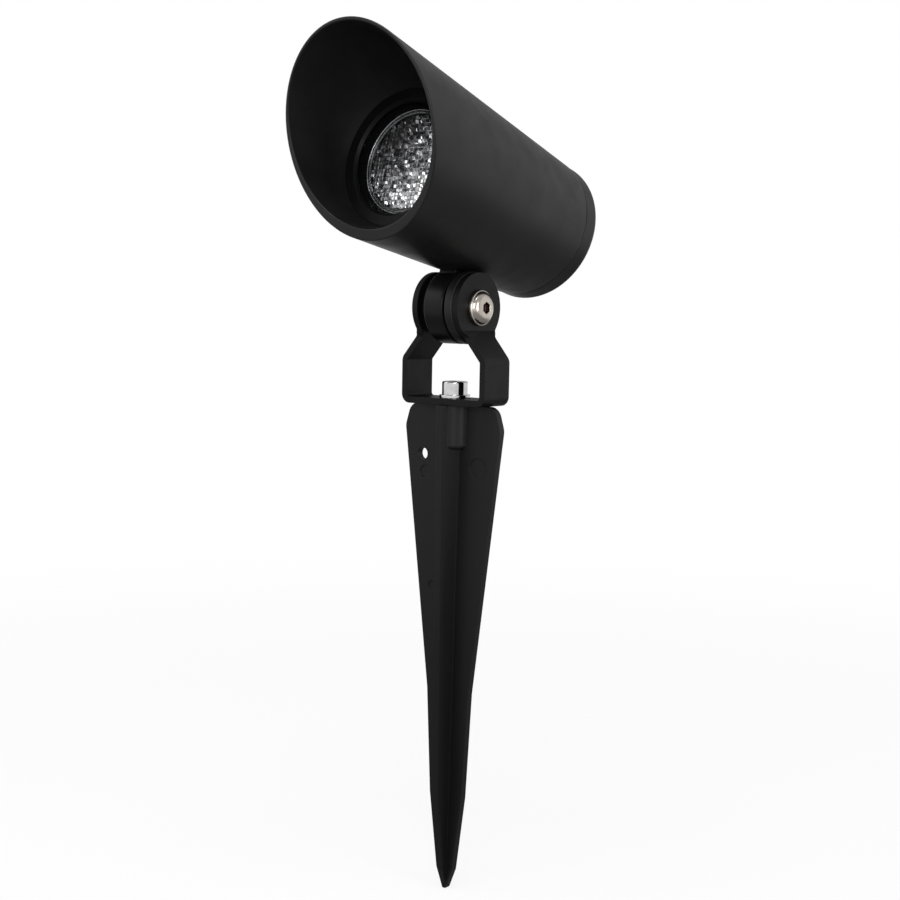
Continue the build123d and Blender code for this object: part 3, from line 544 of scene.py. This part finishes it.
def groove_cutter():
    """A ring that cuts the groove, a little wider than the cover."""
    inside, outside = COVER_OUTSIDE - GROOVE_DEPTH, COVER_OUTSIDE + GROOVE_OVERCUT
    front, back = TUBE_REAR_STATION, TUBE_REAR_STATION - GROOVE_WIDTH
    bm = bmesh.new()
    rings = [tube_ring(bm, GROOVE_TURNS, radius, station) for radius, station in (
        (inside, front), (outside, front), (outside, back), (inside, back))]
    for k in range(len(rings)):
        skin(bm, rings[k], rings[(k + 1) % len(rings)])
    bmesh.ops.recalc_face_normals(bm, faces=bm.faces)
    return new_piece("groove_cutter", bm, PAINTED_LIGHTER_COAT)


def rounded_normals(mesh):
    """The mesh's normals, with the true ones on the cover's rim and its rounded back edge."""
    normals = [corner.vector.copy() for corner in mesh.corner_normals]
    for face in mesh.polygons:
        radius, station = off_axis(face.center)
        on_rim = (abs(face.normal.dot(FORWARD)) < RIM_SLOPE
                  and abs(radius.length - COVER_OUTSIDE) < RIM_REACH)
        on_round = (station < COVER_BACK + COVER_ROUND
                    and radius.length > COVER_OUTSIDE - COVER_ROUND)
        if not (on_rim or on_round):
            continue
        for k in face.loop_indices:
            radius, station = off_axis(mesh.vertices[mesh.loops[k].vertex_index].co)
            out = radius.normalized()
            normals[k] = out if on_rim else (
                out * (radius.length - COVER_OUTSIDE + COVER_ROUND)
                + FORWARD * (station - COVER_BACK - COVER_ROUND)).normalized()
    return normals


def grooved_cover():
    """The rear cover with the fine groove that shows as a line where it meets the tube."""
    bm = bmesh.new()
    bm.from_mesh(nodes["rear_cover"].data)
    cover = new_piece("rear_cover_grooved", bm, PAINTED_LIGHTER_COAT, smooth=True)
    cutter = groove_cutter()
    cut = cover.modifiers.new("groove", "BOOLEAN")
    cut.operation = "DIFFERENCE"
    cut.solver = "EXACT"
    cut.object = cutter
    depsgraph = bpy.context.evaluated_depsgraph_get()
    mesh = bpy.data.meshes.new_from_object(cover.evaluated_get(depsgraph))
    cover.modifiers.clear()
    cover.data = mesh
    bpy.data.objects.remove(cutter)
    for face in mesh.polygons:
        face.use_smooth = True
    mesh.set_sharp_from_angle(angle=COVER_SHARP)
    mesh.normals_split_custom_set(rounded_normals(mesh))
    return cover


def coated_housing():
    """The housing as it is, with the true normals of its tapered outside, so that no seam of
    the solid shows in its shine."""
    housing = bpy.data.objects.new("housing_coated", nodes["housing"].data.copy())
    bpy.context.scene.collection.objects.link(housing)
    mesh = housing.data
    normals = [corner.vector.copy() for corner in mesh.corner_normals]
    for face in mesh.polygons:
        for k in face.loop_indices:
            radius, station = off_axis(mesh.vertices[mesh.loops[k].vertex_index].co)
            out = (radius.normalized() - FORWARD * TUBE_TAPER).normalized()
            taper_here = TUBE_REAR_RADIUS + TUBE_TAPER * (station - TUBE_REAR_STATION)
            on_taper = abs(radius.length - taper_here) < TAPER_REACH
            if on_taper and face.normal.dot(out) > TAPER_FACING:
                normals[k] = out
    mesh.normals_split_custom_set(normals)
    return housing


bolt = bolt_piece()
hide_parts("pivot_bolt")
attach(bolt, "bracket")
housing = coated_housing()
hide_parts("housing")
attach(housing, "head")
cover = grooved_cover()
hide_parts("rear_cover")
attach(cover, "head")

# ---------------------------------------------------------------- camera

CAMERA_PLACE = Vector((380.4434, -481.2925, 41.601))
CAMERA_RIGHT = Vector((0.7818, 0.623268, 0.018038))
CAMERA_UP = Vector((-0.074086, 0.064129, 0.995188))
CAMERA_AHEAD = Vector((-0.619112, 0.779374, -0.096311))
FOCAL_PIXELS, FRAME_PIXELS = 1585.07, 900
SENSOR_WIDTH = 36

camera_data = bpy.data.cameras.new("photo_view")
camera_data.sensor_width = SENSOR_WIDTH
camera_data.lens = SENSOR_WIDTH * FOCAL_PIXELS / FRAME_PIXELS
camera = bpy.data.objects.new("photo_view", camera_data)
camera.matrix_world = Matrix.Translation(CAMERA_PLACE * MM) @ Matrix(
    (CAMERA_RIGHT, CAMERA_UP, -CAMERA_AHEAD)).transposed().to_4x4()
bpy.context.scene.collection.objects.link(camera)
bpy.context.scene.camera = camera

# ---------------------------------------------------------------- studio

lowest = min(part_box(name)[0].z for name in nodes)

# Lengths of the studio are in metres.
FLOOR_REACH = 6.0
FLOOR_GAP = 0.0004
FLOOR_TONE_AS_LIGHT = (0.3, 0.3, 0.3)
FLOOR_TONE_IN_VIEW = (0.95, 0.95, 0.95)
FLOOR_ROUGHNESS = 0.9
# where the floor's white begins and ends to rise, and its shares there
WHITE_IN_VIEW = (0.25, 0.9, 0.85, 1.0)
WHITE_IN_METAL = (0.42, 1.1, 0.05, 1.0)

AMBIENT = 0.35
ROOM_GREY = 0.45
BACKDROP = (0.62, 0.78, -0.1)
FRONT_PANEL = (0.11, -0.99, 0.1)
CEILING = (0, 0, 1)
# what is white in the room that metal sees: its direction, and the cosines of its soft edge
ROOM_WHITES = ((BACKDROP, 0.6, 1.0), (FRONT_PANEL, 0.85, 0.95), (CEILING, 0.55, 0.95))

# name, place, target, width, height, watts
LAMPS = (
    ("key_top", (0.15, -0.3, 0.9), (0, 0, 0.08), 0.7, 0.5, 6),
    ("fill_left", (-0.75, -0.55, 0.35), (0, 0, 0.05), 0.5, 0.7, 1.6),
    ("panel_right", (0.95, -0.1, 0.12), (0, 0, 0.04), 0.3, 0.5, 2.2),
    ("fill_front", (0.55, -0.8, 0.25), (0, 0, 0.08), 0.4, 0.4, 3.2),
)


def light_path_white(tree, shader, share, in_metal=None):
    """Mixes white into a surface, by the given share, for the camera and for glass. Where
    in_metal is given, metal sees that much of it too, and the white is an emission."""
    path = add_node(tree, "ShaderNodeLightPath").outputs
    seen = add_math(tree, "MAXIMUM", path["Is Camera Ray"], path["Is Transmission Ray"])
    if in_metal:
        mirrored = add_math(tree, "MULTIPLY", path["Is Glossy Ray"], in_metal)
        seen = add_math(tree, "MAXIMUM", seen, mirrored)
    amount = add_math(tree, "MULTIPLY", seen, share)
    white = add_node(
        tree, "ShaderNodeEmission" if in_metal else "ShaderNodeBackground", {"Color": WHITE})
    return add_node(
        tree, "ShaderNodeMixShader", {0: amount, 1: shader, 2: white.outputs[0]}).outputs[0]


def make_floor():
    """A pale floor that fades into white with distance and keeps the object's shadow."""
    z = lowest - FLOOR_GAP
    corners = [(sx * FLOOR_REACH, sy * FLOOR_REACH, z)
               for sx, sy in ((-1, -1), (1, -1), (1, 1), (-1, 1))]
    mesh = bpy.data.meshes.new("floor")
    mesh.from_pydata(corners, [], [(0, 1, 2, 3)])
    material = bpy.data.materials.new("pale_floor")
    material.use_nodes = True
    tree = material.node_tree
    bsdf = tree.nodes["Principled BSDF"]
    bsdf.inputs["Roughness"].default_value = FLOOR_ROUGHNESS
    bsdf.inputs["Specular IOR Level"].default_value = 0.0
    in_view = add_node(tree, "ShaderNodeLightPath").outputs["Is Camera Ray"]
    tone = add_color_mix(tree, in_view, FLOOR_TONE_AS_LIGHT, FLOOR_TONE_IN_VIEW)
    tree.links.new(tone, bsdf.inputs["Base Color"])
    coords = add_node(tree, "ShaderNodeTexCoord").outputs["Object"]
    away = add_node(
        tree, "ShaderNodeVectorMath", {0: coords}, operation="LENGTH").outputs["Value"]
    share, in_metal = (add_ramp(tree, away, *rise, interpolation_type="SMOOTHSTEP")
                       for rise in (WHITE_IN_VIEW, WHITE_IN_METAL))
    tree.links.new(light_path_white(tree, bsdf.outputs[0], share, in_metal),
                   tree.nodes["Material Output"].inputs[0])
    mesh.materials.append(material)
    floor = bpy.data.objects.new("floor", mesh)
    bpy.context.scene.collection.objects.link(floor)


def make_world():
    """Even light all round, white for the camera. Metal sees a room that is white behind, in
    front and above, and greyer beside."""
    world = bpy.data.worlds.new("studio")
    world.use_nodes = True
    tree = world.node_tree
    light = tree.nodes["Background"]
    light.inputs["Color"].default_value = WHITE
    light.inputs["Strength"].default_value = AMBIENT
    toward = add_node(tree, "ShaderNodeTexCoord").outputs["Generated"]
    shares = []
    for direction, low, high in ROOM_WHITES:
        along = add_node(tree, "ShaderNodeVectorMath", {0: toward, 1: direction},
                         operation="DOT_PRODUCT").outputs["Value"]
        shares.append(add_ramp(
            tree, along, low, high, ROOM_GREY, 1.0, interpolation_type="SMOOTHSTEP"))
    brightest = shares[0]
    for share in shares[1:]:
        brightest = add_math(tree, "MAXIMUM", brightest, share)
    room = add_node(tree, "ShaderNodeBackground", {"Color": WHITE, "Strength": brightest})
    is_glossy = add_node(tree, "ShaderNodeLightPath").outputs["Is Glossy Ray"]
    seen = add_node(tree, "ShaderNodeMixShader", {
        0: is_glossy, 1: light.outputs[0], 2: room.outputs[0]}).outputs[0]
    tree.links.new(light_path_white(tree, seen, 1.0), tree.nodes["World Output"].inputs[0])
    bpy.context.scene.world = world


def softbox(name, place, target, width, height, watts):
    data = bpy.data.lights.new(name, "AREA")
    data.shape = "RECTANGLE"
    data.size = width
    data.size_y = height
    data.energy = watts
    lamp = bpy.data.objects.new(name, data)
    lamp.location = place
    lamp.rotation_euler = (Vector(target) - Vector(place)).to_track_quat("-Z", "Y").to_euler()
    bpy.context.scene.collection.objects.link(lamp)


make_floor()
make_world()
for lamp in LAMPS:
    softbox(*lamp)

bpy.context.scene.view_settings.view_transform = "Standard"
